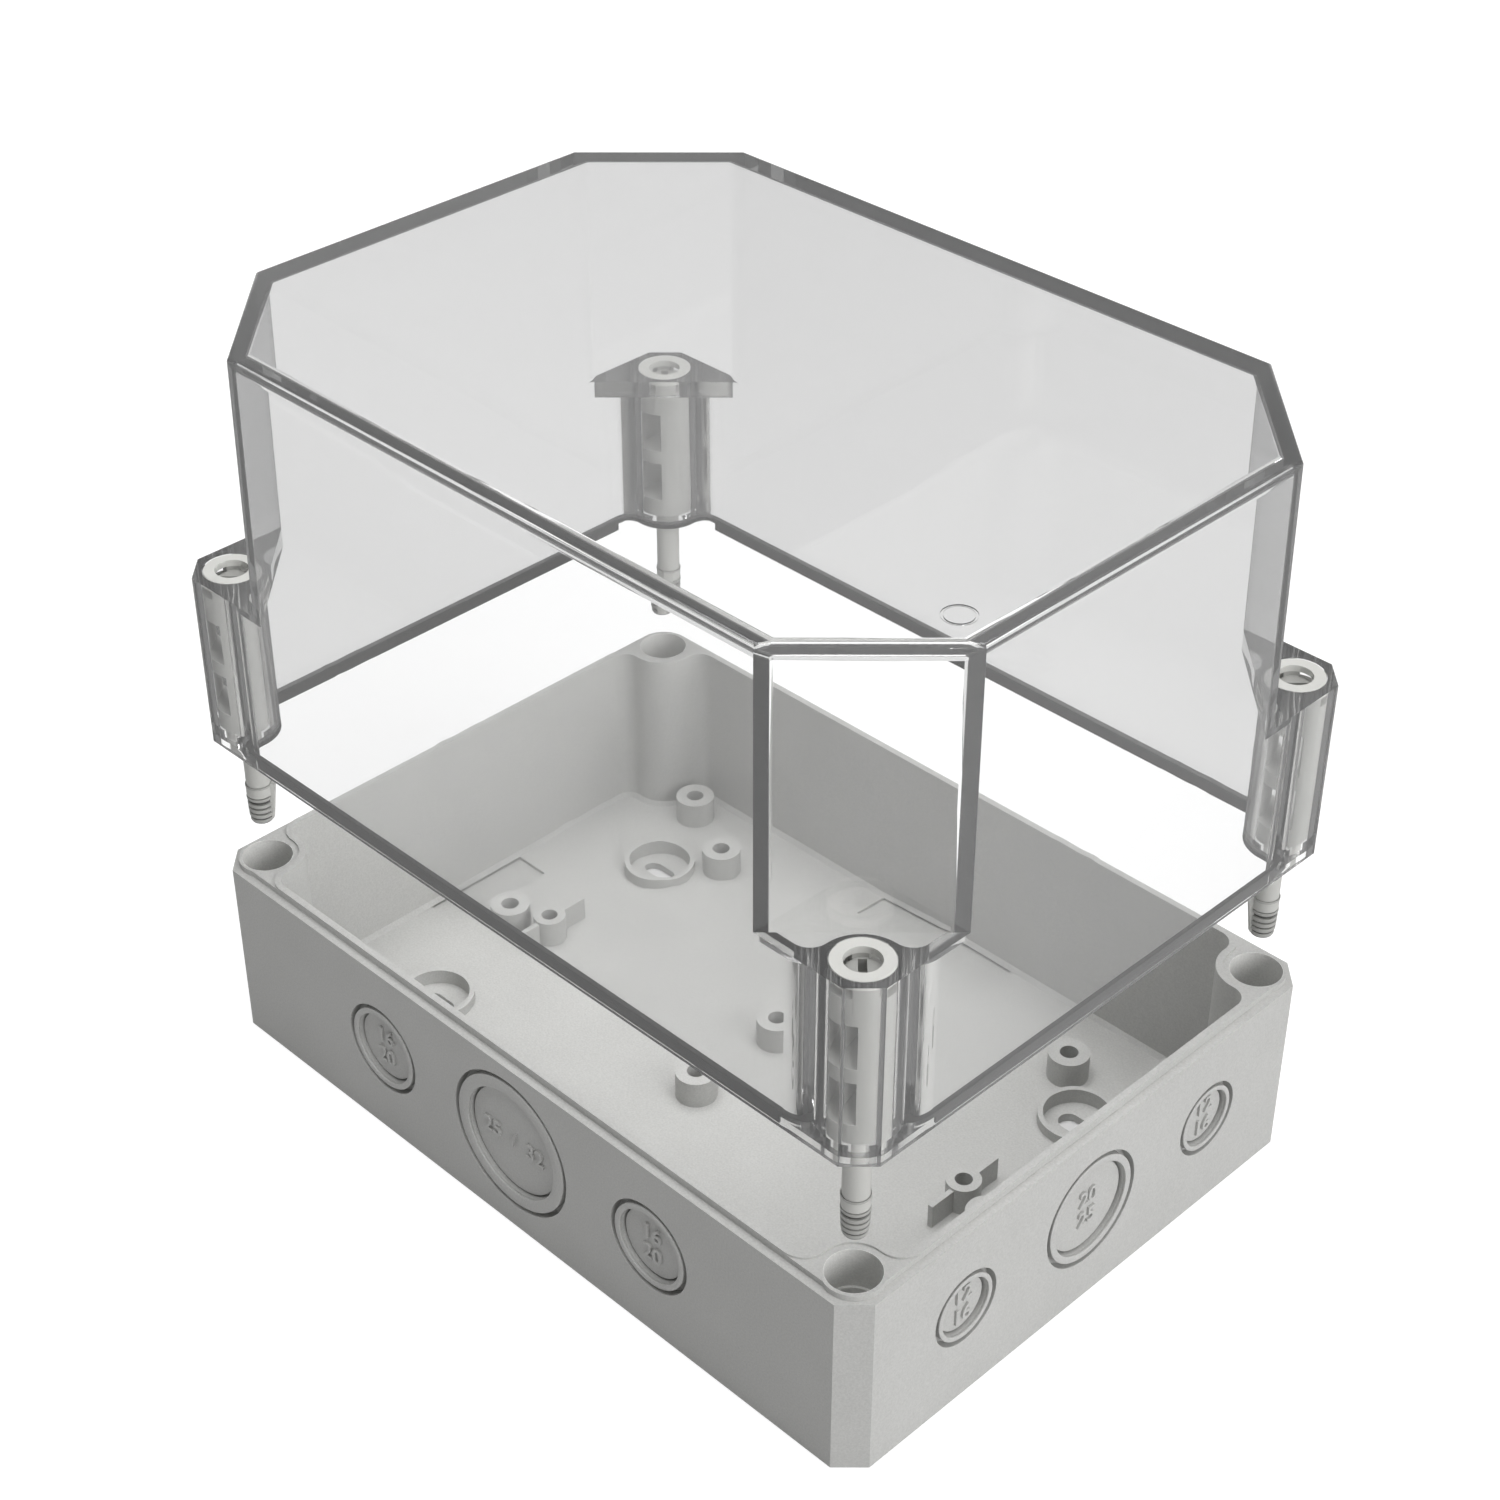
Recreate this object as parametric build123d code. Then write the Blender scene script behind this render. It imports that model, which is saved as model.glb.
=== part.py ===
from build123d import *
import math
import os

# Polycarbonate enclosure, 182 x 130 mm: a grey base housing, a tall clear cover that is
# raised above it, the seal in the cover's rim and four captive cover screws.
# Millimetres, Z up, origin at the middle of the underside of the base.
# X runs along the long side.

# Base housing
base_length = 182.0
base_width = 130.0
base_height = 41.4          # underside to the ledge that carries the cover
base_wall = 3.2
floor_thickness = 3.0
floor_chamfer = 0.9         # between the walls and the floor, inside
corner_chamfer = 5.0        # the vertical corner chamfers of base and cover

# Corner bosses and the seal path round them
screw_inset = 7.35          # outer face of the base to the screw axis
boss_radius = 7.95
boss_blend = 3.6
seat_bore_radius = 5.25
seat_bore_depth = 8.9
lock_bore_radius = 4.7
lock_bore_spare = 1.6       # room below the screw's tip when the cover is closed
pad_height = 1.25           # the flat round each bore, as high as this above the ledge
pad_radius = 5.95
lip_height = 1.7
lip_width = 1.4

# Knock-outs: where along the wall, how far up, outer and inner radius
long_side_height = 21.7
long_side_pitch = 39.0
long_side_middle = (16.25, 12.5)
long_side_outer = (10.25, 8.0)
short_side_height = 22.5
short_side_pitch = 35.3
short_side_middle = (12.75, 10.25)
short_side_outer = (8.25, 6.25)
ring_recess = 0.5
disc_recess = 1.3
relief_depth = 0.8          # the floor is lower in front of each middle knock-out
relief_reach = 9.6
relief_margin = 1.6

# Fittings on the floor
post_radius = 4.4
post_height = 6.2
post_hole_radius = 1.95
post_hole_depth = 5.2
corner_posts = (69.4, 53.7)
rear_posts = (50.5, 43.7)
middle_posts_pitch = 26.0
middle_posts_offset = -2.2
side_posts = (69.2, -3.5)
wing_boss_x = 60.0
wing_boss_radius = 3.6
wing_hole_radius = 1.8
wing_reach = 9.8
wing_thickness = 1.1
wing_height = 5.6
fixing_places = (61.0, 34.0)
fixing_ring_radius = 8.1
fixing_ring_wall = 1.1
fixing_ring_height = 2.3
fixing_floor = 1.8
slot_length = 8.2
slot_width = 4.6

# Cover
lift = 32.7                 # how far the cover is raised above its closed place
cover_proud = 0.2
side_wall = 3.8             # the four long flat sides
corner_wall = 2.75          # the four cut corners of the crown
cover_height = 92.6
ledge_height = 38.1         # rim to the tops of the corner ledges
ledge_thickness = 2.85
crown_chamfer = 24.7
crown_draft = 0.6
top_thickness = 3.0
edge_fillet = 1.0           # round the top outside, and along the crown's edges inside
tube_radius = 8.0
tube_blend = 3.6
gate_mark_place = (82.2, -36.6)
gate_mark_radius = 3.0
gate_mark_depth = 0.25

# Seal
seal_clearance = 0.15
seal_height = 0.9           # above the lip
seal_skirt = 0.35           # thickness of the side that hangs down outside the lip

# Cover screws
screw_clearance = 0.2
head_radius = 5.5
head_bore_radius = 3.3
head_bore_depth = 2.2
drive_slot_width = 1.5
drive_slot_length = 5.6
drive_slot_depth = 2.6
shoulder_height = 3.9       # rim to the top of the tube's inner shoulder
window_width = 6.6
window_height = 9.0
window_bridge = 3.0
window_start = 8.9          # top of the head to the first window
neck_radius = 2.5
neck_hole_radius = 3.5
tip_reach = 21.7            # rim to the lower end of the screw
thread_length = 6.5
thread_core_radius = 2.2
collar_radius = 2.65
collar_height = 2.6
lug_radius = (2.6, 3.6)     # reach from the axis, at the tip and at the top
lug_width = 2.0
lug_length = 8.6

# Places worked out from the sizes above
rim_z = base_height + lift
ledge_z = rim_z + ledge_height
top_z = rim_z + cover_height
tip_z = rim_z - tip_reach
cover_length = base_length + 2 * cover_proud
cover_width = base_width + 2 * cover_proud
screw_x = base_length / 2 - screw_inset
screw_y = base_width / 2 - screw_inset
screw_places = {
    "front_left": (-screw_x, -screw_y),
    "front_right": (screw_x, -screw_y),
    "rear_left": (-screw_x, screw_y),
    "rear_right": (screw_x, screw_y),
}


def four_places(x, y):
    """The same place in each quarter of the plan."""
    return [(-x, -y), (x, -y), (-x, y), (x, y)]


def chamfered_outline(length, width, leg):
    """Rectangle with its four corners cut off."""
    return chamfer(Rectangle(length, width).vertices(), leg)


def inner_outline(length, width, wall, tube, blend):
    """Inside of the walls, with the round corner tubes standing into it."""
    outline = Rectangle(length - 2 * wall, width - 2 * wall)
    for x, y in screw_places.values():
        outline -= Pos(x, y) * Circle(tube)
    return fillet(outline.vertices(), blend)


def raised(sketch, start, height, draft=0.0):
    """Upright solid on a sketch, from one level up."""
    return Pos(0, 0, start) * extrude(sketch, height, taper=draft)


base_outline = chamfered_outline(base_length, base_width, corner_chamfer)
base_cavity = inner_outline(base_length, base_width, base_wall, boss_radius, boss_blend)
lip_outline = offset(base_cavity, lip_width)
pad_outline = offset(base_outline, lip_width - base_wall)
for pad_x, pad_y in screw_places.values():
    pad_outline += Pos(pad_x, pad_y) * Circle(pad_radius)


def knock_out(face, radii):
    """Cutter for one round knock-out on an outer face: a stepped ring and disc."""
    outer, inner = radii
    ring = extrude(face * Circle(outer), -ring_recess)
    disc = extrude(face * Circle(inner), -disc_recess)
    return ring + disc


def knock_outs():
    """Three knock-outs on each of the four walls."""
    cutters = []
    for side in (-1, 1):
        for place in (-1, 0, 1):
            radii = long_side_outer if place else long_side_middle
            spot = (place * long_side_pitch, side * base_width / 2, long_side_height)
            cutters.append(knock_out(Plane(spot, x_dir=(1, 0, 0), z_dir=(0, side, 0)), radii))
            radii = short_side_outer if place else short_side_middle
            spot = (side * base_length / 2, place * short_side_pitch, short_side_height)
            cutters.append(knock_out(Plane(spot, x_dir=(0, 1, 0), z_dir=(side, 0, 0)), radii))
    return cutters


def floor_reliefs():
    """Shallow pockets in the floor that clear the nut of a gland in a middle knock-out."""
    x_wall = base_length / 2 - base_wall
    y_wall = base_width / 2 - base_wall
    long_pocket = Box(2 * (long_side_middle[0] + relief_margin), relief_reach, relief_depth)
    short_pocket = Box(relief_reach, 2 * (short_side_middle[0] + relief_margin), relief_depth)
    level = floor_thickness - relief_depth / 2
    cutters = []
    for side in (-1, 1):
        cutters.append(Pos(0, side * (y_wall - relief_reach / 2), level) * long_pocket)
        cutters.append(Pos(side * (x_wall - relief_reach / 2), 0, level) * short_pocket)
    return cutters


def board_post(x, y, radius, hole_radius, height):
    """Round post on the floor with a blind hole for a self-tapping screw."""
    post = Pos(x, y) * Circle(radius)
    hole = Pos(x, y) * Circle(hole_radius)
    start = floor_thickness + height - post_hole_depth
    body = raised(post, floor_thickness - relief_depth, height + relief_depth)
    return body - raised(hole, start, post_hole_depth)


def winged_boss(x):
    """Small boss with a thin upright wing on each side, along Y."""
    boss = board_post(x, 0, wing_boss_radius, wing_hole_radius, post_height)
    wings = Pos(x, 0) * Rectangle(wing_thickness, 2 * wing_reach)
    wings -= Pos(x, 0) * Circle(wing_boss_radius - wing_thickness / 2)
    return boss + raised(wings, floor_thickness - relief_depth, wing_height + relief_depth)


def make_base():
    """Base housing in one moulding."""
    tip_level = tip_z - lift - lock_bore_spare
    base = raised(base_outline, 0, base_height) + raised(lip_outline, 0, base_height + lip_height)
    base += raised(pad_outline, base_height / 2, base_height / 2 + pad_height)
    cavity = raised(base_cavity, floor_thickness, base_height)
    cavity = chamfer(cavity.faces().sort_by(Axis.Z)[0].edges(), floor_chamfer)
    base -= cavity
    for cutter in knock_outs() + floor_reliefs():
        base -= cutter
    posts = four_places(*corner_posts)
    for side in (-1, 1):
        posts.append((side * rear_posts[0], rear_posts[1]))
        posts.append((side * side_posts[0], side_posts[1]))
        posts.append((0, middle_posts_offset + side * middle_posts_pitch / 2))
    for x, y in posts:
        base += board_post(x, y, post_radius, post_hole_radius, post_height)
    for side in (-1, 1):
        base += winged_boss(side * wing_boss_x)
    ring_top = floor_thickness + fixing_ring_height
    for x, y in four_places(*fixing_places):
        base += raised(Pos(x, y) * Circle(fixing_ring_radius), floor_thickness / 2,
                       ring_top - floor_thickness / 2)
        base -= raised(Pos(x, y) * Circle(fixing_ring_radius - fixing_ring_wall), fixing_floor,
                       ring_top - fixing_floor)
        base -= raised(Pos(x, y) * SlotOverall(slot_length, slot_width), 0, ring_top)
    seat_level = base_height + pad_height - seat_bore_depth
    for x, y in screw_places.values():
        base -= raised(Pos(x, y) * Circle(seat_bore_radius), seat_level, 2 * seat_bore_depth)
        base -= raised(Pos(x, y) * Circle(lock_bore_radius), tip_level, base_height - tip_level)
    return base


def upright_edges(block):
    """The edges of a block that run up it."""
    return block.edges().filter_by(lambda edge: edge.bounding_box().size.Z > edge_fillet)


def crown_block(inset, leg, start, end):
    """Eight-sided block that leans in by the draft, with its corners cut off alike all the way up."""
    plan = Rectangle(cover_length - 2 * inset, cover_width - 2 * inset)
    block = raised(plan, start, end - start, crown_draft)
    return chamfer(upright_edges(block), leg)


def crown_cavity():
    """Inside of the crown: thinner at the cut corners than along the sides, with rounded edges.
    It leans in from the ledges up, as the outside does, and is upright through the ledges."""
    leg = crown_chamfer + corner_wall * math.sqrt(2) - 2 * side_wall
    cavity = crown_block(side_wall, leg, ledge_z, top_z - top_thickness)
    cavity = fillet(upright_edges(cavity), edge_fillet)
    cavity = fillet(cavity.faces().sort_by(Axis.Z)[-1].edges(), edge_fillet)
    return cavity + extrude(cavity.faces().sort_by(Axis.Z)[0], ledge_thickness)


def make_cover():
    """Clear cover in one moulding: lower shell, corner tubes and ledges, eight-sided crown."""
    outline = chamfered_outline(cover_length, cover_width, corner_chamfer)
    tube_inside = inner_outline(cover_length, cover_width, side_wall, tube_radius, tube_blend)
    rebate = offset(base_cavity, lip_width + seal_skirt + 2 * seal_clearance)

    cover = crown_block(0, crown_chamfer, ledge_z, top_z)
    cover = fillet(cover.faces().sort_by(Axis.Z)[-1].edges(), edge_fillet)
    cover += raised(outline, rim_z, ledge_height)
    cover -= crown_cavity()
    cover -= raised(tube_inside, rim_z, ledge_height - ledge_thickness)
    cover -= raised(rebate, rim_z, lip_height + seal_clearance + seal_height)
    cover -= raised(offset(pad_outline, seal_clearance), rim_z, pad_height + seal_clearance)

    tube_bore = head_radius + screw_clearance
    shoulder_z = rim_z + shoulder_height
    for x, y in screw_places.values():
        cover -= raised(Pos(x, y) * Circle(tube_bore), shoulder_z, ledge_z - shoulder_z)
        cover -= raised(Pos(x, y) * Circle(neck_hole_radius), rim_z, shoulder_height)
    mark = Circle(gate_mark_radius) - Circle(gate_mark_radius - 2 * gate_mark_depth)
    cover -= raised(Pos(*gate_mark_place) * mark, top_z - gate_mark_depth, gate_mark_depth)
    return cover


def wall_frame(outer, inner):
    """Rectangular frame in plan, between two distances in from the outside of the base."""
    frame = Rectangle(base_length - 2 * outer, base_width - 2 * outer)
    return frame - Rectangle(base_length - 2 * inner, base_width - 2 * inner)


def make_seal():
    """Seal inside the cover's rim: a flat ring above the lip of the base that becomes, along the
    walls, a channel that fits over the lip."""
    low = rim_z + seal_clearance
    ring_level = rim_z + lip_height + seal_clearance
    slot_outer = base_wall - lip_width - seal_clearance
    ring = offset(base_cavity, lip_width + seal_clearance + seal_skirt) - base_cavity
    reach = tube_radius + tube_blend
    straight = Rectangle(2 * (screw_x - reach), base_width)
    straight += Rectangle(base_length, 2 * (screw_y - reach))
    channel = wall_frame(slot_outer - seal_skirt, side_wall - cover_proud) & straight
    seal = raised(ring, ring_level, seal_height)
    seal += raised(channel, low, ring_level + seal_height - low)
    return seal - raised(wall_frame(slot_outer, base_wall + seal_clearance), low, ring_level - low)


def make_screw(x, y):
    """Captive cover screw: bored head, windowed shank, neck and half-threaded tip."""
    shank_end = rim_z + shoulder_height + screw_clearance
    window_top = ledge_z - window_start
    thread_top = tip_z + thread_length
    collar_top = thread_top + collar_height

    inward = math.copysign(1, -x)
    across = math.copysign(1, -y)
    screw = raised(Circle(head_radius), shank_end, ledge_z - shank_end)
    screw -= raised(Circle(head_bore_radius), ledge_z - head_bore_depth, head_bore_depth)
    slot_top = ledge_z - head_bore_depth
    towards_middle = math.degrees(math.atan2(across, inward))
    slot = Rot(0, 0, towards_middle) * Rectangle(drive_slot_length, drive_slot_width)
    screw -= raised(slot, slot_top - drive_slot_depth, drive_slot_depth)
    for row in range(2):
        window_low = window_top - window_height - row * (window_height + window_bridge)
        window = Rectangle(window_width, 4 * head_radius)
        screw -= raised(window, window_low, window_height)

    tip = raised(Circle(neck_radius), collar_top, shank_end - collar_top)
    tip += raised(Circle(collar_radius), thread_top, collar_height)
    tip += raised(Circle(thread_core_radius), tip_z, thread_length)

    lug = Cone(*lug_radius, lug_length)
    lug = lug & (Pos(lug_length / 2, 0, 0) * Box(lug_length, lug_width, lug_length))
    middle = Pos(0, 0, collar_top - lug_length / 2)
    tip += middle * Rot(0, 0, towards_middle) * lug
    return Pos(x, y) * (screw + tip)


def save(shape, name):
    """Write one piece to its own file."""
    shape.label = name
    export_step(shape, os.path.join("parts", name + ".step"))


os.makedirs("parts", exist_ok=True)
save(make_base(), "base_housing")
save(make_cover(), "cover_shell")
save(make_seal(), "cover_seal")
for corner, (screw_centre_x, screw_centre_y) in screw_places.items():
    save(make_screw(screw_centre_x, screw_centre_y), "cover_screw_" + corner)
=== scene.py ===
import math

import bpy
from mathutils import Matrix, Vector


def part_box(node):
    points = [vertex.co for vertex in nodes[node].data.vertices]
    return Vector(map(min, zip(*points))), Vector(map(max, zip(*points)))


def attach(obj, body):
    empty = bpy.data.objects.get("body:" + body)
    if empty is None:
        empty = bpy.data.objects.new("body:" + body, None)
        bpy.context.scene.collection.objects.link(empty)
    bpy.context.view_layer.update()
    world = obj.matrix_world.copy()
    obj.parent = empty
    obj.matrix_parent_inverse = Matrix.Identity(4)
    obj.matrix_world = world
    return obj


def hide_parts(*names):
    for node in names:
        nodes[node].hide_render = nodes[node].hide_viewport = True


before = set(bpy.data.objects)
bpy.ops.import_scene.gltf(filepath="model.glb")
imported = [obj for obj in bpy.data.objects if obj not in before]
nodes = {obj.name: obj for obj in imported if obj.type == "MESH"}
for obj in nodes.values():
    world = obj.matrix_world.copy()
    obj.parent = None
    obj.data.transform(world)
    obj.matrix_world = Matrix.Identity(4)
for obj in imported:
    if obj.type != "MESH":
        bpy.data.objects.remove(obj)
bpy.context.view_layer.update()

# Sizes are in metres and colours are linear

# Moulded plastics. A finish is the roughness, how far the grain darkens and lightens the colour,
# the scale of the grain and the height of its bumps. What they share comes after
base_grey = (0.49, 0.49, 0.478)
base_finish = (0.55, 0.25, 2400.0, 0.0001)
screw_grey = (0.62, 0.62, 0.595)
screw_finish = (0.42, 0.05, 3200.0, 0.00006)
thread_finish = (0.45, 0.05, 3200.0, 0.00006)
seal_grey = (0.03, 0.03, 0.029)
seal_finish = (0.6, 0.08, 1800.0, 0.0001)
moulded_clouds = 55.0
moulded_grain_share = 0.75
moulded_bump = 0.3
moulded_gloss = 0.4
grain_detail = 2.0
grain_roughness = 0.6
cloud_detail = 4.0

# Painted shade on the screws' plastic: its painted brightness on the shank, in the clear tube's
# shade, on the neck, and on the thread's ridges and grooves, and how far above the cover's rim
# the neck's painted shade starts
shank_painted_shade = 0.62
neck_painted_shade = 0.82
thread_painted_shade = 0.6
groove_painted_shade = 0.16
neck_start = 0.004

# Corner bores of the base, painted lighter as painted bounced light: their radius, the level that
# they stay above, and how much lighter the plastic is painted in them
bore_reach = 0.00532
bore_floor = 0.001
bore_painted_light = 1.45

# Clear plastic. Its grain is the scale of the grain, the scale of the clouds and the grain's
# share, and its shadow is what it leaves of the lamps' light
cover_colour = (0.997, 0.997, 0.997)
cover_contrast = 0.012
cover_grain = (1500.0, 30.0, 0.8)
cover_roughness = 0.01
cover_index = 1.585
cover_haze = 0.04
cover_shadow = (0.93, 0.93, 0.93)
glass_smoke = (0.90, 0.91, 0.91)
glass_smoke_density = 8.0

# Camera, fitted to the photograph: its place, how far it looks down and is turned round, in
# degrees, its lens and its sensor's width, in millimetres
camera_place = (0.312384, -0.310949, 0.392571)
camera_down = 35.133
camera_round = 45.092
camera_lens = 66.682
camera_sensor = 36.0

# Studio light: a broad key lamp from the right and a broad lamp above, each with its strength,
# where it comes from and how wide it is
lamps = (("key", 2.29, (0.94, 0.06, 0.30), math.radians(50)),
         ("top", 1.95, (0.0, 0.0, 1.0), math.radians(50)))
sky_light = 0.20

# How bright the white studio looks after a reflection inside the clear plastic, through two of
# its walls, and after a reflection off an outer face
inside_dark = 0.12
two_walls = 0.75
mirrored_studio = 0.5

# A ray has met a surface when its depth is past the first of these, and has left a whole wall
# behind and entered the next when its depth is past the second
one_surface = 0.5
one_wall = 2.5

# Floor: its size, how far it lies below the part and the grey with which it lights the part. To
# the eye it has a glow and a pale colour, and a plain grey below the base, where the glow stops
# this far inside the base's edges
floor_size = 6.0
floor_drop = 0.0002
floor_bounce = 0.62
floor_glow = 0.80
floor_shade = 0.35
floor_below = 0.7
under_base = 0.018

# Knock-outs: along the wall, outer and inner radius, and their size numbers
long_knock_outs = ((-0.039, 0.01025, 0.0080, ("16", "20")),
                   (0.0, 0.01625, 0.0125, ("25  /  32",)),
                   (0.039, 0.01025, 0.0080, ("16", "20")))
short_knock_outs = ((-0.0353, 0.00825, 0.00625, ("12", "16")),
                    (0.0, 0.01275, 0.01025, ("20", "25")),
                    (0.0353, 0.00825, 0.00625, ("12", "16")))
long_knock_out_height = 0.0217
short_knock_out_height = 0.0225
ring_sides = 96

# The raised ring of a knock-out, the groove round it, and the groove round the disc inside it
knock_out_groove = 0.001
outer_groove_depth = 0.0022
knock_out_step = 0.0005
ring_edge = 0.00014
disc_groove = 0.00055
disc_groove_depth = 0.0026

# Size numbers: the depth of the disc that carries them, their height, rise, extra stroke width
# and edge rounding, and a digit's height as a share of the font's size
knock_out_floor = 0.0013
number_height = 0.0037
number_rise = 0.0005
number_weight = 0.00003
number_edge = 0.00004
digit_share = 0.72

# Cover screw tips: level above the tip, radius, depth and edge rounding of each ring. The lowest
# four are the ridges of the thread, and the last two the steps at the neck
tip_rings = ((0.00015, 0.00238, 0.00080, 0.00022), (0.00140, 0.00254, 0.00084, 0.00014),
             (0.00267, 0.00260, 0.00084, 0.00012), (0.00394, 0.00263, 0.00084, 0.00012),
             (0.00560, 0.00272, 0.00060, 0.00010), (0.00860, 0.00274, 0.00050, 0.00012))
tip_ring_inside = 0.0019
tip_sides = 48
thread_reach = 0.0065
core_radius = 0.00232

# Gap below the flange of each screw head: below the top, height, inner and outer radius, how far
# each half of it reaches round the head, and in how many steps
head_gap_drop = 0.00135
head_gap_height = 0.0019
head_gap_radii = (0.0031, 0.0060)
head_gap_reach = math.radians(65)
head_gap_steps = 26

# Rounding of the moulded edges, and how far the seal presses into the clear plastic
base_edge = 0.00022
screw_edge = 0.00012
seal_press = 0.00014
edge_segments = 2

# Edges sharper than these, in degrees, are rounded on small pieces and on the base
small_edge_angle = 50
base_edge_angle = 40

# Edges sharper than these, in degrees, stay sharp in the shading
piece_smooth = 40
copy_smooth = 25
base_smooth = 30
screw_smooth = 35

# Copies of the CAD nodes: corners closer than this are joined, faces flatter than this many
# degrees become one, and faces broader than this, in square metres, stay flat
merge_distance = 1e-6
flat_angle = 0.5
broad_face = 0.00007

# The strip over which the cover's faint crease is spread, up and down, how faint the crease is in
# degrees, and how near to its level an edge has to lie
crease_reach = 0.007
crease_angle = 2.0
crease_margin = 1e-5


def add(tree, kind, **values):
    """One node. Each value goes to its property, or else to the socket of that name."""
    node = tree.nodes.new(kind)
    for key, value in values.items():
        if hasattr(node, key):
            setattr(node, key, value)
        else:
            node.inputs[key.replace("_", " ")].default_value = value
    return node


def rgba(colour):
    return (colour[0], colour[1], colour[2], 1.0)


def link(tree, from_node, from_socket, to_node, to_socket):
    tree.links.new(from_node.outputs[from_socket], to_node.inputs[to_socket])


def maths(tree, operation, first, second=0.0):
    """A Math node on numbers or (node, socket) pairs. It gives its own (node, socket) pair."""
    node = add(tree, "ShaderNodeMath", operation=operation)
    for place, value in enumerate((first, second)):
        if isinstance(value, tuple):
            link(tree, *value, node, place)
        else:
            node.inputs[place].default_value = value
    return (node, 0)


def rest_of(tree, share):
    """What a share leaves of 1."""
    return maths(tree, "SUBTRACT", 1.0, share)


def object_parts(tree):
    """The X, Y and Z of a point, as the sockets of one node."""
    place = add(tree, "ShaderNodeTexCoord")
    parts = add(tree, "ShaderNodeSeparateXYZ")
    link(tree, place, "Object", parts, 0)
    return parts


def new_material(name):
    """A node material with only its output."""
    material = bpy.data.materials.new(name)
    material.use_nodes = True
    material.node_tree.nodes.clear()
    output = add(material.node_tree, "ShaderNodeOutputMaterial")
    return material, material.node_tree, output


def background_level(tree):
    """How bright the studio looks along a ray, and whether the ray sees it at all. It is white
    seen plainly or through one wall, a little grey through two walls, and darker after a
    reflection. Rays that light a matt surface don't see it."""
    path = add(tree, "ShaderNodeLightPath")
    entered = maths(tree, "GREATER_THAN", (path, "Transmission Depth"), one_surface)
    mirrored = maths(tree, "GREATER_THAN", (path, "Glossy Depth"), one_surface)
    inside = maths(tree, "MULTIPLY", entered, mirrored)
    outside = maths(tree, "MULTIPLY", mirrored, rest_of(tree, entered))
    second_wall = maths(tree, "GREATER_THAN", (path, "Transmission Depth"), one_wall)
    level = rest_of(tree, maths(tree, "MULTIPLY", second_wall, 1 - two_walls))
    for case, brightness in ((inside, inside_dark), (outside, mirrored_studio)):
        loss = maths(tree, "MULTIPLY", case, 1 - brightness)
        level = maths(tree, "MULTIPLY", level, rest_of(tree, loss))
    seen = maths(tree, "MAXIMUM", (path, "Is Camera Ray"), (path, "Is Glossy Ray"))
    seen = maths(tree, "MAXIMUM", seen, (path, "Is Transmission Ray"))
    lighting = maths(tree, "GREATER_THAN", (path, "Diffuse Depth"), one_surface)
    return level, maths(tree, "MULTIPLY", seen, rest_of(tree, lighting))


def make_world():
    """The white studio to the eye, and a weak plain sky to everything that it lights."""
    world = bpy.data.worlds.new("studio")
    bpy.context.scene.world = world
    world.use_nodes = True
    tree = world.node_tree
    tree.nodes.clear()
    level, seen = background_level(tree)
    extra = maths(tree, "SUBTRACT", level, sky_light)
    strength = maths(tree, "ADD", sky_light, maths(tree, "MULTIPLY", extra, seen))
    sky = add(tree, "ShaderNodeBackground", Color=rgba((1.0, 1.0, 1.0)))
    link(tree, *strength, sky, "Strength")
    output = add(tree, "ShaderNodeOutputWorld")
    link(tree, sky, 0, output, "Surface")


def beside_base(tree):
    """1 on the floor beside the base and below its edges, and 0 below its middle."""
    parts = object_parts(tree)
    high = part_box("base_housing")[1]
    past = []
    for axis, reach in (("X", high.x), ("Y", high.y)):
        along = maths(tree, "ABSOLUTE", (parts, axis))
        past.append(maths(tree, "GREATER_THAN", along, reach - under_base))
    return maths(tree, "MAXIMUM", *past)


def make_floor():
    """A floor that glows white to the eye, keeps the part's shadow, and lights the part as plain
    pale grey."""
    material, tree, output = new_material("studio_floor")
    level, seen = background_level(tree)
    beside = beside_base(tree)
    level = maths(tree, "MULTIPLY", level, beside)
    glow = add(tree, "ShaderNodeEmission", Color=rgba((1.0, 1.0, 1.0)))
    link(tree, *maths(tree, "MULTIPLY", level, floor_glow), glow, "Strength")
    below = maths(tree, "MULTIPLY", rest_of(tree, beside), floor_below)
    shade = add(tree, "ShaderNodeBsdfDiffuse")
    link(tree, *maths(tree, "ADD", maths(tree, "MULTIPLY", level, floor_shade), below),
         shade, "Color")
    lit = add(tree, "ShaderNodeAddShader")
    link(tree, glow, 0, lit, 0)
    link(tree, shade, 0, lit, 1)
    bounce = add(tree, "ShaderNodeBsdfDiffuse", Color=rgba((floor_bounce,) * 3))
    mix = add(tree, "ShaderNodeMixShader")
    link(tree, *seen, mix, "Fac")
    link(tree, bounce, 0, mix, 1)
    link(tree, lit, 0, mix, 2)
    link(tree, mix, 0, output, "Surface")
    bpy.ops.mesh.primitive_plane_add(size=floor_size, location=(0, 0, -floor_drop))
    floor = bpy.context.object
    floor.name = "studio_floor"
    floor.data.materials.append(material)


def make_lamps():
    for name, strength, comes_from, spread in lamps:
        data = bpy.data.lights.new(name, "SUN")
        data.energy = strength
        data.angle = spread
        lamp = bpy.data.objects.new(name, data)
        lamp.rotation_euler = Vector(comes_from).to_track_quat("Z", "Y").to_euler()
        bpy.context.scene.collection.objects.link(lamp)


def make_camera():
    data = bpy.data.cameras.new("camera")
    data.lens = camera_lens
    data.sensor_width = camera_sensor
    camera = bpy.data.objects.new("camera", data)
    camera.location = camera_place
    camera.rotation_euler = (math.radians(90 - camera_down), 0.0, math.radians(camera_round))
    bpy.context.scene.collection.objects.link(camera)
    bpy.context.scene.camera = camera


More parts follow.
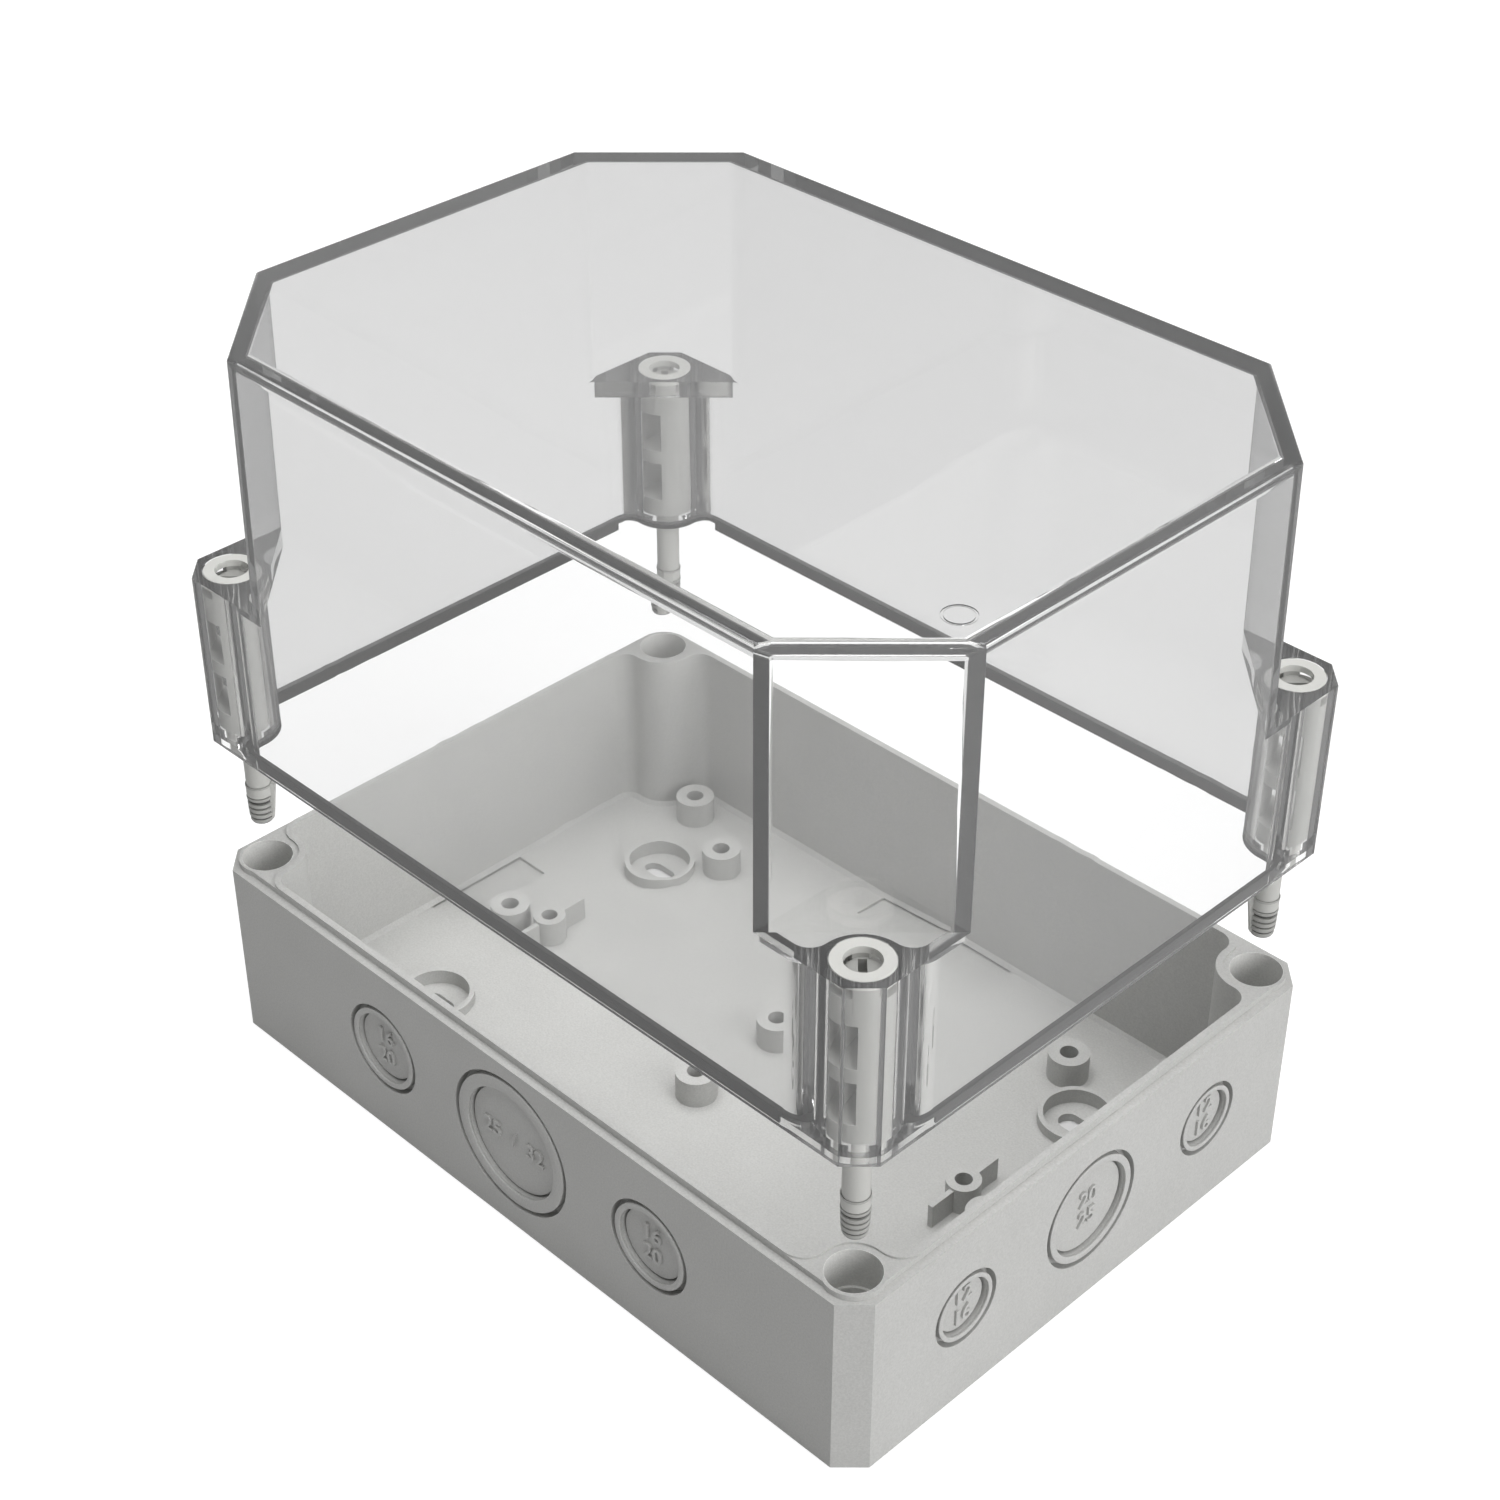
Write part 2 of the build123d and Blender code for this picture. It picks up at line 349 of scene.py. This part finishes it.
def make_grain():
    """Node group for the fine grain and the faint clouds of plastic. It puts out a tone from 0
    to 1 and a height."""
    tree = bpy.data.node_groups.new("moulded_grain", "ShaderNodeTree")
    face = tree.interface
    for socket in ("Grain Scale", "Cloud Scale", "Grain Share"):
        face.new_socket(socket, in_out="INPUT", socket_type="NodeSocketFloat")
    for socket in ("Tone", "Height"):
        face.new_socket(socket, in_out="OUTPUT", socket_type="NodeSocketFloat")
    given = add(tree, "NodeGroupInput")
    result = add(tree, "NodeGroupOutput")
    place = add(tree, "ShaderNodeTexCoord")
    grain = add(tree, "ShaderNodeTexNoise", Detail=grain_detail, Roughness=grain_roughness)
    cloud = add(tree, "ShaderNodeTexNoise", Detail=cloud_detail)
    for texture, scale in ((grain, "Grain Scale"), (cloud, "Cloud Scale")):
        link(tree, place, "Object", texture, "Vector")
        link(tree, given, scale, texture, "Scale")
    tone = add(tree, "ShaderNodeMix", data_type="FLOAT")
    link(tree, given, "Grain Share", tone, 0)
    link(tree, cloud, "Fac", tone, 2)
    link(tree, grain, "Fac", tone, 3)
    link(tree, tone, 0, result, "Tone")
    link(tree, grain, "Fac", result, "Height")
    return tree


def add_grain(tree, scale, clouds, share):
    grain = add(tree, "ShaderNodeGroup", node_tree=moulded_grain)
    grain.inputs["Grain Scale"].default_value = scale
    grain.inputs["Cloud Scale"].default_value = clouds
    grain.inputs["Grain Share"].default_value = share
    return grain


def toned(tree, grain, colour, contrast):
    """A colour that the grain makes a little darker and lighter."""
    tone = add(tree, "ShaderNodeMix", data_type="RGBA", blend_type="MIX")
    tone.inputs["A"].default_value = rgba([(1 - contrast) * c for c in colour])
    tone.inputs["B"].default_value = rgba([min(1.0, (1 + contrast) * c) for c in colour])
    link(tree, grain, "Tone", tone, "Factor")
    return tone


def near_axis(tree, parts, radius):
    """Whether a point lies within a radius of the nearest cover screw's axis."""
    low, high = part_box("cover_screw_front_left")
    middle = (low + high) / 2
    squares = []
    for axis, centre in (("X", middle.x), ("Y", middle.y)):
        away = maths(tree, "SUBTRACT", maths(tree, "ABSOLUTE", (parts, axis)), abs(centre))
        squares.append(maths(tree, "MULTIPLY", away, away))
    return maths(tree, "LESS_THAN", maths(tree, "ADD", *squares), radius * radius)


def painted_bore_light(tree):
    """Painted bounced light on the base's plastic by place: lighter inside the four corner bores."""
    parts = object_parts(tree)
    above = maths(tree, "GREATER_THAN", (parts, "Z"), bore_floor)
    inside = maths(tree, "MULTIPLY", near_axis(tree, parts, bore_reach), above)
    return maths(tree, "ADD", 1.0, maths(tree, "MULTIPLY", inside, bore_painted_light - 1))


def screw_painted_shade(tree):
    """Painted shade on the screw's plastic by its place: full on the flange, painted darker on the
    shank and the neck, and painted dark in the grooves of the thread."""
    low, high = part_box("cover_screw_front_left")
    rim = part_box("cover_shell")[0].z
    parts = object_parts(tree)
    below_flange = maths(tree, "LESS_THAN", (parts, "Z"), high.z - head_gap_drop)
    on_neck = maths(tree, "LESS_THAN", (parts, "Z"), rim + neck_start)
    on_thread = maths(tree, "LESS_THAN", (parts, "Z"), low.z + thread_reach)
    groove = maths(tree, "MULTIPLY", on_thread, near_axis(tree, parts, core_radius))
    tone = rest_of(tree, maths(tree, "MULTIPLY", below_flange, 1 - shank_painted_shade))
    tone = maths(tree, "ADD", tone, maths(tree, "MULTIPLY", on_neck, neck_painted_shade - shank_painted_shade))
    return maths(tree, "SUBTRACT", tone, maths(tree, "MULTIPLY", groove, neck_painted_shade - groove_painted_shade))


def moulded_plastic(name, colour, finish, painted_light=None):
    """Matt moulded plastic with a fine grain, and with painted light or shade by place if given."""
    roughness, contrast, grain_scale, bump_height = finish
    material, tree, output = new_material(name)
    grain = add_grain(tree, grain_scale, moulded_clouds, moulded_grain_share)
    tone = toned(tree, grain, colour, contrast)
    bump = add(tree, "ShaderNodeBump", Strength=moulded_bump, Distance=bump_height)
    link(tree, grain, "Height", bump, "Height")
    plastic = add(tree, "ShaderNodeBsdfPrincipled", Roughness=roughness)
    plastic.inputs["Specular IOR Level"].default_value = moulded_gloss
    link(tree, bump, "Normal", plastic, "Normal")
    link(tree, plastic, 0, output, "Surface")
    if painted_light is None:
        link(tree, tone, "Result", plastic, "Base Color")
        return material
    # Painted light or shade: the grained colour is scaled by a brightness that depends on the place
    scaled = add(tree, "ShaderNodeVectorMath", operation="SCALE")
    link(tree, tone, "Result", scaled, 0)
    link(tree, *painted_light(tree), scaled, "Scale")
    link(tree, scaled, 0, plastic, "Base Color")
    return material


def clear_plastic(name):
    """Polished clear plastic, slightly smoky and hazy, that lets the lamps through."""
    material, tree, output = new_material(name)
    glass = add(tree, "ShaderNodeBsdfPrincipled", IOR=cover_index, Roughness=cover_roughness)
    tone = toned(tree, add_grain(tree, *cover_grain), cover_colour, cover_contrast)
    link(tree, tone, "Result", glass, "Base Color")
    glass.inputs["Transmission Weight"].default_value = 1 - cover_haze
    path = add(tree, "ShaderNodeLightPath")
    through = add(tree, "ShaderNodeBsdfTransparent", Color=rgba(cover_shadow))
    mix = add(tree, "ShaderNodeMixShader")
    link(tree, path, "Is Shadow Ray", mix, "Fac")
    link(tree, glass, 0, mix, 1)
    link(tree, through, 0, mix, 2)
    link(tree, mix, 0, output, "Surface")
    smoke = add(tree, "ShaderNodeVolumeAbsorption", Color=rgba(glass_smoke),
                Density=glass_smoke_density)
    link(tree, smoke, 0, output, "Volume")
    return material


def select_only(*pieces):
    """Selects the given pieces, with the first of them active."""
    bpy.ops.object.select_all(action="DESELECT")
    for piece in pieces:
        piece.select_set(True)
    bpy.context.view_layer.objects.active = pieces[0]


def edit(piece):
    """Opens a piece in edit mode, with all of it selected."""
    select_only(piece)
    bpy.ops.object.mode_set(mode="EDIT")
    bpy.ops.mesh.select_all(action="SELECT")


def join(pieces):
    """Joins pieces into the first of them."""
    select_only(*pieces)
    if len(pieces) > 1:
        bpy.ops.object.join()
    return pieces[0]


def copy_of(master):
    """A copy with its own mesh."""
    piece = master.copy()
    piece.data = master.data.copy()
    bpy.context.scene.collection.objects.link(piece)
    return piece


def place_in_mesh(piece, matrix):
    """Moves a finished mesh, and leaves its object at the origin."""
    piece.data.transform(matrix)
    piece.matrix_world = Matrix.Identity(4)


def smooth(piece, angle):
    """Shades a piece smooth, apart from its edges that are sharper than an angle."""
    select_only(piece)
    bpy.ops.object.shade_smooth_by_angle(angle=math.radians(angle))


def bevel_edges(piece, width, angle):
    """Rounds the edges of a piece that are sharper than an angle, for good."""
    select_only(piece)
    rounding = piece.modifiers.new("rounding", "BEVEL")
    rounding.width = width
    rounding.segments = edge_segments
    rounding.limit_method = "ANGLE"
    rounding.angle_limit = math.radians(angle)
    bpy.ops.object.modifier_apply(modifier=rounding.name)


def cut_away(piece, cutters):
    """Cuts a set of shapes out of a piece, and deletes them."""
    cutter = join(cutters)
    select_only(piece)
    cut = piece.modifiers.new("cut", "BOOLEAN")
    cut.operation = "DIFFERENCE"
    cut.solver = "EXACT"
    cut.object = cutter
    bpy.ops.object.modifier_apply(modifier=cut.name)
    bpy.data.objects.remove(cutter)


def finish_piece(piece, name, material, body):
    """Names a new piece, gives it its material, and puts it on its body."""
    piece.name = name
    piece.data.name = name
    piece.data.materials.clear()
    piece.data.materials.append(material)
    smooth(piece, piece_smooth)
    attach(piece, body)


def stand_in(piece, node, body):
    """Puts a refined copy in the place of its CAD node."""
    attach(piece, body)
    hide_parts(node)


def make_ring(outer, inner, height, sides):
    """A square-edged ring that stands on the origin."""
    bpy.ops.object.select_all(action="DESELECT")
    bpy.ops.mesh.primitive_circle_add(vertices=sides, radius=outer, fill_type="NGON")
    ring = bpy.context.object
    edit(ring)
    bpy.ops.mesh.inset(thickness=outer - inner)
    bpy.ops.mesh.delete(type="FACE")
    bpy.ops.mesh.select_all(action="SELECT")
    bpy.ops.mesh.extrude_region_move(TRANSFORM_OT_translate={"value": (0, 0, height)})
    bpy.ops.mesh.select_all(action="SELECT")
    bpy.ops.mesh.normals_make_consistent(inside=False)
    bpy.ops.object.mode_set(mode="OBJECT")
    return ring


def wall_places():
    """Name, frame on the outer wall face, outer and inner radius and numbers of each knock-out.
    The frame's X runs along the wall to the right, its Y up and its Z out."""
    low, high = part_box("base_housing")
    walls = (("front", low.y, 0), ("right", high.x, 90), ("rear", high.y, 180), ("left", low.x, 270))
    for side, level, turn in walls:
        long_side = side in ("front", "rear")
        rows = long_knock_outs if long_side else short_knock_outs
        up = long_knock_out_height if long_side else short_knock_out_height
        for number, (along, outer, inner, words) in enumerate(rows, 1):
            frame_on_wall = (Matrix.Rotation(math.radians(turn), 4, "Z")
                             @ Matrix.Translation((along, -abs(level), up))
                             @ Matrix.Rotation(math.radians(90), 4, "X"))
            yield f"{side}_{number}", frame_on_wall, outer, inner, words


def make_knock_out_ring(name, frame_on_wall, outer, inner):
    """Raised ring of a knock-out, with a groove left round it and soft edges."""
    ring = make_ring(outer - knock_out_groove, inner, knock_out_step, ring_sides)
    bevel_edges(ring, ring_edge, small_edge_angle)
    place_in_mesh(ring, frame_on_wall @ Matrix.Translation((0, 0, -knock_out_step)))
    finish_piece(ring, "knock_out_ring_" + name, base_plastic, "base")


def make_numbers(name, frame_on_wall, words):
    """Raised size numbers on the disc of a knock-out."""
    bpy.ops.object.select_all(action="DESELECT")
    bpy.ops.object.text_add()
    text = bpy.context.object.data
    text.body = "\n".join(words)
    text.align_x = "CENTER"
    text.align_y = "CENTER"
    text.size = number_height / digit_share
    text.extrude = number_rise / 2
    text.offset = number_weight
    text.bevel_depth = number_edge
    bpy.ops.object.convert(target="MESH")
    numbers = bpy.context.object
    sink = number_rise / 2 - knock_out_floor
    place_in_mesh(numbers, frame_on_wall @ Matrix.Translation((0, 0, sink)))
    finish_piece(numbers, "size_numbers_" + name, base_plastic, "base")


def make_groove_cutter(frame_on_wall, outer, width, depth):
    """A ring that reaches from just outside a wall into it."""
    ring = make_ring(outer, outer - width, depth + knock_out_step, ring_sides)
    place_in_mesh(ring, frame_on_wall @ Matrix.Translation((0, 0, -depth)))
    return ring


def cut_grooves(base):
    """Cuts the deep narrow grooves round the ring and the disc of each knock-out."""
    cutters = []
    for name, frame_on_wall, outer, inner, words in wall_places():
        cutters.append(make_groove_cutter(frame_on_wall, outer, knock_out_groove,
                                          outer_groove_depth))
        cutters.append(make_groove_cutter(frame_on_wall, inner, disc_groove, disc_groove_depth))
    cut_away(base, cutters)


def make_tip_rings():
    """Thread ridges and steps on the tip of a cover screw, with its lowest point at the origin."""
    rings = []
    for level, radius, height, rounding in tip_rings:
        ring = make_ring(radius, tip_ring_inside, height, tip_sides)
        bevel_edges(ring, rounding, small_edge_angle)
        place_in_mesh(ring, Matrix.Translation((0, 0, level)))
        rings.append(ring)
    return join(rings)


def make_thread(name, master):
    """A copy of the tip rings on one cover screw."""
    low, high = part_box("cover_screw_" + name)
    middle = (low + high) / 2
    piece = copy_of(master)
    place_in_mesh(piece, Matrix.Translation((middle.x, middle.y, low.z)))
    finish_piece(piece, "thread_" + name, thread_plastic, "screw_" + name)


def dress(node, material):
    """Gives a CAD node its material, which its copies take over."""
    nodes[node].data.materials.clear()
    nodes[node].data.materials.append(material)


def refined_copy(node, name):
    """A copy of a CAD node with joined corners, on which flat faces stay flat and round walls
    look round. It drops the node's parent and labels, and is given its own parent when it stands in."""
    piece = copy_of(nodes[node])
    piece.name = name
    piece.parent = None
    for key in list(piece.keys()):
        del piece[key]
    edit(piece)
    bpy.ops.mesh.customdata_custom_splitnormals_clear()
    bpy.ops.mesh.remove_doubles(threshold=merge_distance)
    bpy.ops.mesh.dissolve_limited(angle_limit=math.radians(flat_angle))
    bpy.ops.object.mode_set(mode="OBJECT")
    smooth(piece, copy_smooth)
    return piece


def keep_flat(piece):
    """Marks the edges of the broad flat faces sharp, so that no rounding next to them bends the
    light that goes through them."""
    broad = set()
    for face in piece.data.polygons:
        if face.area > broad_face:
            broad.update(face.edge_keys)
    for edge in piece.data.edges:
        if edge.key in broad:
            edge.use_edge_sharp = True


def soften_crease(piece, level):
    """Spreads the faint crease where the upright walls start to lean over a strip, so that what is
    seen through the clear plastic doesn't jump there."""
    edit(piece)
    for height in (level - crease_reach, level + crease_reach):
        bpy.ops.mesh.select_all(action="SELECT")
        bpy.ops.mesh.bisect(plane_co=(0, 0, height), plane_no=(0, 0, 1))
    bpy.ops.object.mode_set(mode="OBJECT")
    keep_flat(piece)
    mesh = piece.data
    faces = {}
    for face in mesh.polygons:
        for key in face.edge_keys:
            faces.setdefault(key, []).append(face)
    for edge in mesh.edges:
        ends = [mesh.vertices[index].co.z for index in edge.vertices]
        sides = faces[edge.key]
        if max(abs(z - level) for z in ends) < crease_margin and len(sides) == 2:
            if sides[0].normal.angle(sides[1].normal) < math.radians(crease_angle):
                edge.use_edge_sharp = False


def press_outwards(piece, distance):
    """Grows a piece a hair, so that it wets the plastic that it lies against."""
    edit(piece)
    bpy.ops.transform.shrink_fatten(value=distance)
    bpy.ops.object.mode_set(mode="OBJECT")


def make_gap_cutter():
    """Two curved bars, as the gap below a screw head's flange, with its top middle at the origin."""
    inner, outer = head_gap_radii
    middle = Matrix.Translation(((inner + outer) / 2, 0, -head_gap_drop - head_gap_height / 2))
    upright = Matrix.Rotation(math.radians(90), 4, "X")
    size = Matrix.Diagonal((outer - inner, head_gap_height, 1, 1))
    bars = []
    for turn in (math.pi, 0.0):
        bpy.ops.object.select_all(action="DESELECT")
        bpy.ops.mesh.primitive_plane_add(size=1)
        bar = bpy.context.object
        start = Matrix.Rotation(turn - head_gap_reach, 4, "Z")
        place_in_mesh(bar, start @ middle @ upright @ size)
        edit(bar)
        bpy.ops.mesh.spin(steps=head_gap_steps, angle=2 * head_gap_reach, center=(0, 0, 0),
                          axis=(0, 0, 1))
        bpy.ops.mesh.select_all(action="SELECT")
        bpy.ops.mesh.remove_doubles(threshold=merge_distance)
        bpy.ops.mesh.normals_make_consistent(inside=False)
        bpy.ops.object.mode_set(mode="OBJECT")
        bars.append(bar)
    return join(bars)


def cut_head_gap(screw, node, master):
    """Cuts the gap below the flange of one screw head, and softens the screw's edges."""
    low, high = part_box(node)
    middle = (low + high) / 2
    cutter = copy_of(master)
    place_in_mesh(cutter, Matrix.Translation((middle.x, middle.y, high.z)))
    cut_away(screw, [cutter])
    bevel_edges(screw, screw_edge, small_edge_angle)
    smooth(screw, screw_smooth)


def make_cover():
    cover = refined_copy("cover_shell", "clear_cover")
    soften_crease(cover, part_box("cover_screw_front_left")[1].z)
    stand_in(cover, "cover_shell", "cover")


def make_base():
    base = refined_copy("base_housing", "grey_base")
    cut_grooves(base)
    bevel_edges(base, base_edge, base_edge_angle)
    smooth(base, base_smooth)
    stand_in(base, "base_housing", "base")


def make_seal():
    seal = refined_copy("cover_seal", "rim_seal")
    press_outwards(seal, seal_press)
    stand_in(seal, "cover_seal", "cover")


def make_screws():
    gap_cutter = make_gap_cutter()
    for node in screw_nodes:
        screw = refined_copy(node, node.replace("cover_", "captive_"))
        cut_head_gap(screw, node, gap_cutter)
        stand_in(screw, node, node.removeprefix("cover_"))
    bpy.data.objects.remove(gap_cutter)


def make_threads():
    master = make_tip_rings()
    for node in screw_nodes:
        make_thread(node.removeprefix("cover_screw_"), master)
    bpy.data.objects.remove(master)


def make_knock_outs():
    for name, frame_on_wall, outer, inner, words in wall_places():
        make_knock_out_ring(name, frame_on_wall, outer, inner)
        make_numbers(name, frame_on_wall, words)


make_world()
make_floor()
make_lamps()
make_camera()

moulded_grain = make_grain()
# The base's plastic is painted lighter in its corner bores, as painted bounced light
base_plastic = moulded_plastic("base_plastic", base_grey, base_finish, painted_bore_light)
# The screws' plastic has painted shade on the shank, the neck and the thread's grooves
screw_plastic = moulded_plastic("screw_plastic", screw_grey, screw_finish, screw_painted_shade)
# The thread's plastic is a darker copy of the screws' plastic, as painted shade on the tip's ridges
thread_plastic = moulded_plastic("thread_plastic", [thread_painted_shade * c for c in screw_grey],
                                 thread_finish)
seal_rubber = moulded_plastic("seal_rubber", seal_grey, seal_finish)
cover_plastic = clear_plastic("clear_cover")

screw_nodes = [name for name in nodes if name.startswith("cover_screw_")]
dress("base_housing", base_plastic)
dress("cover_seal", seal_rubber)
dress("cover_shell", cover_plastic)
for name in screw_nodes:
    dress(name, screw_plastic)

make_knock_outs()
make_threads()
make_cover()
make_base()
make_seal()
make_screws()

bpy.context.scene.view_settings.view_transform = "Standard"
